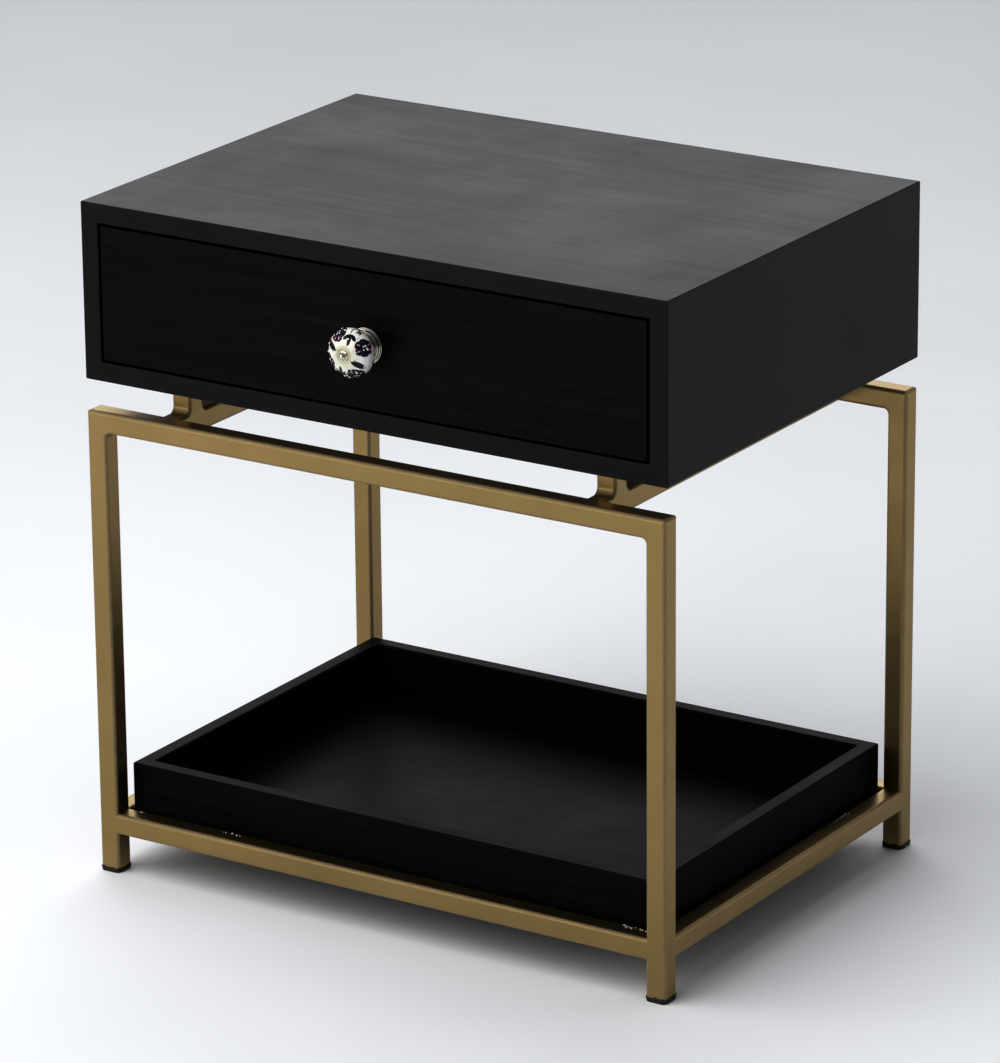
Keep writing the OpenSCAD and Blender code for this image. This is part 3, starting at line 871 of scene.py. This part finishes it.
def add_painting():
    """A generic pattern of flowers, leaves and dots round the knob's ball."""
    petals = Solids()
    blushes = Solids()
    dots = Solids()
    leaves = Solids()
    dice = random.Random(11)

    def flower(around, latitude, radius, spin, count):
        spot = Painting(around, latitude, spin)
        for i in range(count):
            angle = 360 * i / count + dice.uniform(-6, 6)
            reach = radius * dice.uniform(0.9, 1.05)
            lean = math.radians(angle)
            spot.leaf(petals, (0, 0), angle, reach, 0.70 * radius, 0.11 + 0.012 * (i % 3), 0.8, 0.5)
            begin = radius * dice.uniform(0.38, 0.5)
            if i % 3 < 2:
                start = (begin * math.cos(lean), begin * math.sin(lean))
                spot.leaf(blushes, start, angle + dice.uniform(-15, 15), 0.36 * radius, 0.17 * radius,
                          0.18, 1.1, 0.2)
        for i in range(4):
            turn = math.radians(90 * i + dice.uniform(-20, 20))
            away = radius * dice.uniform(0.14, 0.26)
            spot.dot(dots, away * math.cos(turn), away * math.sin(turn), dice.uniform(1.0, 1.8), 0.30)
        for i in range(2):
            turn = math.radians(180 * i + dice.uniform(-50, 50))
            away = radius * 0.98
            spot.dot(dots, away * math.cos(turn), away * math.sin(turn), dice.uniform(1.9, 2.3), 0.70)

    def sprig(around, latitude, angle, length):
        spot = Painting(around, latitude)
        spot.leaf(leaves, (0, 0), angle + 165, length * 1.1, 0.5, 0.10, 0.5, 0, 0.5)
        for lean, share in ((-56, 0.75), (-4, 1.0), (48, 0.8)):
            spot.leaf(leaves, (0, 0), angle + lean, length * share, length * 0.34, 0.12, 1.5, 0.25, 0.15)

    def broad_leaf(around, latitude):
        spot = Painting(around, latitude)
        spot.leaf(leaves, (0, 7.2), -90, 15.0, 5.6, 0.12, 1.3, 0, 0.12)
        spot.leaf(leaves, (1.0, -1.0), 72, 7.0, 0.5, 0.10, 0.5, 0, -0.3)
        spot.leaf(leaves, (-1.5, -4.5), 168, 6.5, 0.5, 0.10, 0.5, 0, 0.4)

    flowers = 4
    for i in range(flowers):
        around = 26 + 360 * i / flowers
        flower(around, dice.uniform(22, 30), dice.uniform(8.8, 9.6), dice.uniform(0, 50), 6 + i % 2)
        flower(around + 45, -26, dice.uniform(6.4, 7.2), dice.uniform(0, 50), 5)
        sprig(around + 6, -22, 70, 5.0)
        if i % 2 == 0:
            sprig(around + 52, 30, 105, 10.6)
            sprig(around + 36, 2, 60, 4.8)
        else:
            broad_leaf(around + 36, 46)
    loose_dots = 14
    for i in range(loose_dots):
        loose = Painting(360 * i / loose_dots + dice.uniform(-9, 9), dice.uniform(-12, 48))
        loose.dot(dots, 0, 0, dice.uniform(1.5, 2.1), 0.65)
    add_piece("knob_petals", petals.mesh("knob_petals"), "drawer", NIGHT_BLUE)
    add_piece("knob_blushes", blushes.mesh("knob_blushes"), "drawer", PINK)
    add_piece("knob_dots", dots.mesh("knob_dots"), "drawer", WHITE_DOTS)
    add_piece("knob_leaves", leaves.mesh("knob_leaves"), "drawer", LEAF_BLACK)


# ---- screws ----------------------------------------------------------------------------------

SCREW_SIDES = 48


def cross_outline(arm, half_width):
    """Outline of a screw's cross recess, as points round its middle."""
    points = []
    for i in range(SCREW_SIDES):
        angle = 2 * math.pi * i / SCREW_SIDES
        off = abs((angle + math.pi / 4) % (math.pi / 2) - math.pi / 4)
        reach = arm / math.cos(off)
        if off > 0.01:
            reach = min(reach, half_width / math.sin(off))
        points.append((reach * math.cos(angle), reach * math.sin(angle)))
    return points


def screw(solids, seat, inward, length, head):
    """Screw with its head's underside at seat. Head is a list of (rise, radius), up to its face."""
    up = Z
    across = up.cross(inward)
    shank = circle(1.74, SCREW_SIDES)
    taper = 2.5

    def ring(depth, points):
        return place_ring([(u * MM, v * MM) for u, v in points], seat + inward * depth * MM, across, up)

    face = head[-1][0]
    rings = [[seat + inward * length * MM], ring(length - taper, shank), ring(0, shank)]
    rings += [ring(-rise, circle(radius, SCREW_SIDES)) for rise, radius in head]
    rings += [ring(-face, cross_outline(1.75, 0.42)), ring(0.9 - face, cross_outline(1.35, 0.34)),
              [seat + inward * (1.3 - face) * MM]]
    solids.loft(rings)


def add_screws():
    """Screws of the slides' two halves and of the drawer's face."""
    pan_head = [(0, 3.15), (0.9, 3.15), (1.6, 2.6), (1.95, 1.95)]
    flush_head = [(0, 2.0), (1.0, 3.1), (1.18, 3.0)]
    inner_low, inner_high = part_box("slide_inner_left")
    outer_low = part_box("slide_outer_left")[0]
    end_gap = 35 * MM
    length = 9.7
    spots = [inner_low.y + end_gap, (inner_low.y + inner_high.y) / 2, inner_high.y - end_gap]
    slide_z = (inner_low.z + inner_high.z) / 2
    into_case = Solids()
    into_drawer = Solids()
    for sign in SIDES.values():
        for y in spots:
            case_seat = Vector((sign * abs(outer_low.x), y, slide_z))
            drawer_seat = Vector((sign * abs(inner_high.x), y, slide_z))
            screw(into_case, case_seat, X * sign, length, flush_head)
            screw(into_drawer, drawer_seat, -X * sign, length, flush_head)
    add_piece("case_screws", into_case.mesh("case_screws"), "root", SCREW_STEEL,
              ["case_slide_screws"])
    add_piece("drawer_screws", into_drawer.mesh("drawer_screws"), "drawer", SCREW_STEEL,
              ["drawer_slide_screws"])
    low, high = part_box("face_screws")
    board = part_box("drawer_front_board")[1].y
    into_face = Solids()
    head_radius = 3.2 * MM
    for x in (low.x + head_radius, high.x - head_radius):
        for z in (low.z + head_radius, high.z - head_radius):
            screw(into_face, Vector((x, board, z)), -Y, (board - low.y) / MM, pan_head)
    add_piece("front_board_screws", into_face.mesh("front_board_screws"), "drawer",
              SCREW_STEEL, ["face_screws"])


# ---- foam crumbs -----------------------------------------------------------------------------

def add_crumbs():
    """Crumbs of white packing foam that lie on the bottom rails, beside the tray."""
    dice = random.Random(5)
    solids = Solids()
    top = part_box("bottom_rail_front")[1].z
    inward = 5 * MM
    heaps = [("front", X, Y, -0.94, 9), ("front", X, Y, -0.56, 12), ("front", X, Y, 0.93, 14),
             ("right", Y, -X, 0.6, 16)]
    for rail, along, to_tray, share, count in heaps:
        node = f"bottom_rail_{rail}"
        heap = middle(node) + along * share * size(node).dot(along) / 2 + to_tray * inward
        heap.z = top
        for _ in range(count):
            width = dice.uniform(0.3, 0.95) * MM
            spot = heap + Z * 0.3 * width + along * dice.gauss(0, 9) * MM
            spot += (X + Y - along) * dice.uniform(-1.6, 1.6) * MM
            rings = [[spot - Z * 0.5 * width]]
            for rise, share in ((-0.3, 0.7), (0.1, 1.0), (0.45, 0.7)):
                ring = []
                for u, v in circle(width * share, 8):
                    wobble = dice.uniform(0.7, 1.2)
                    ring.append(spot + Vector((u * wobble, v * wobble, rise * width)))
                rings.append(ring)
            rings.append([spot + Z * 0.65 * width])
            solids.loft(rings)
    add_piece("foam_crumbs", solids.mesh("foam_crumbs", 60), "root", FOAM)


# ---- floor, light and camera -----------------------------------------------------------------

def add_floor():
    half = 9
    mesh = bpy.data.meshes.new("floor")
    corners = [(-half, -half, 0), (half, -half, 0), (half, half, 0), (-half, half, 0)]
    mesh.from_pydata(corners, [], [(0, 1, 2, 3)])
    mesh.materials.append(pale_floor())
    floor = bpy.data.objects.new("floor", mesh)
    bpy.context.scene.collection.objects.link(floor)


def add_area_light(name, place, aim, width, height, power, mirrored=True):
    """A soft box that the camera doesn't see. Where it isn't mirrored, glossy surfaces don't show it."""
    light = bpy.data.lights.new(name, "AREA")
    light.shape = "RECTANGLE"
    light.size = width
    light.size_y = height
    light.energy = power
    light.color = (1.0, 0.995, 0.985)
    lamp = bpy.data.objects.new(name, light)
    bpy.context.scene.collection.objects.link(lamp)
    lamp.location = place
    lamp.rotation_euler = (Vector(aim) - Vector(place)).to_track_quat("-Z", "Y").to_euler()
    lamp.visible_camera = False
    lamp.visible_glossy = mirrored


def add_world():
    """Studio dome: dim all round, brighter overhead, with a wide glow behind the table on the left."""
    world = bpy.data.worlds.new("studio")
    bpy.context.scene.world = world
    world.use_nodes = True
    nodes = world.node_tree.nodes
    links = world.node_tree.links
    direction = nodes.new("ShaderNodeTexCoord").outputs["Generated"]

    def soft_cap(middle_of_cap, start, end, strength):
        """Rises smoothly with the cosine of the angle to a direction."""
        dot = nodes.new("ShaderNodeVectorMath")
        dot.operation = "DOT_PRODUCT"
        links.new(direction, dot.inputs[0])
        dot.inputs[1].default_value = middle_of_cap.normalized()
        node = nodes.new("ShaderNodeMapRange")
        node.interpolation_type = "SMOOTHSTEP"
        for key, value in (("From Min", start), ("From Max", end), ("To Min", 0), ("To Max", strength)):
            node.inputs[key].default_value = value
        links.new(dot.outputs["Value"], node.inputs["Value"])
        return node.outputs["Result"]

    def add(first, second):
        node = nodes.new("ShaderNodeMath")
        for socket, value in zip(node.inputs, (first, second)):
            if isinstance(value, bpy.types.NodeSocket):
                links.new(value, socket)
            else:
                socket.default_value = value
        return node.outputs[0]

    glow = soft_cap(Vector((-0.42, 0.65, 0.63)), 0.80, 0.985, 2.5)
    overhead = soft_cap(Z, 0.3, 0.9, 0.25)
    sky = nodes["Background"]
    sky.inputs["Color"].default_value = (0.97, 0.985, 1.0, 1)
    links.new(add(add(glow, overhead), 0.10), sky.inputs["Strength"])


def add_lights():
    """A large soft box in front on the left, one overhead, a small one behind on the right, and the dome."""
    add_area_light("key_light", (-2.6, -4.2, 2.3), (-0.2, -0.4, 0.3), 6.6, 4.2, 200)
    add_area_light("top_light", (-0.9, -1.4, 3.4), (-0.1, -0.3, 0), 3.0, 3.0, 76, False)
    add_area_light("right_light", (2.7, 2.3, 1.0), (0.3, 0, 0.4), 2.0, 1.6, 21)
    add_world()


def add_camera():
    """The camera stands to the right and in front, a little above the table."""
    azimuth = math.radians(32.7)
    elevation = math.radians(18.82)
    roll = -0.0091
    distance = 5.36
    off_centre = Vector((-3, 15, -1)) * MM
    aim = (CAD_BOX[0] + CAD_BOX[1]) / 2 + off_centre
    ahead = Vector((-math.sin(azimuth), math.cos(azimuth), 0))
    forward = ahead * math.cos(elevation) - Z * math.sin(elevation)
    level = Vector((math.cos(azimuth), math.sin(azimuth), 0))
    above = level.cross(forward)
    right = level * math.cos(roll) + above * math.sin(roll)
    top = above * math.cos(roll) - level * math.sin(roll)
    data = bpy.data.cameras.new("camera")
    data.lens = 201.3
    data.sensor_width = 36
    camera = bpy.data.objects.new("camera", data)
    bpy.context.scene.collection.objects.link(camera)
    turn = Matrix((right, top, -forward)).transposed()
    camera.matrix_world = Matrix.Translation(aim - forward * distance) @ turn.to_4x4()
    bpy.context.scene.camera = camera


add_camera()
add_floor()
add_lights()
dress_cad_nodes()
add_case()
add_tray_walls()
add_welds()
add_feet()
add_knob_body()
add_knob_base()
add_knob_bolt()
add_painting()
add_screws()
add_crumbs()
bpy.context.scene.view_settings.view_transform = "Standard"
bpy.context.scene.view_settings.gamma = 0.75
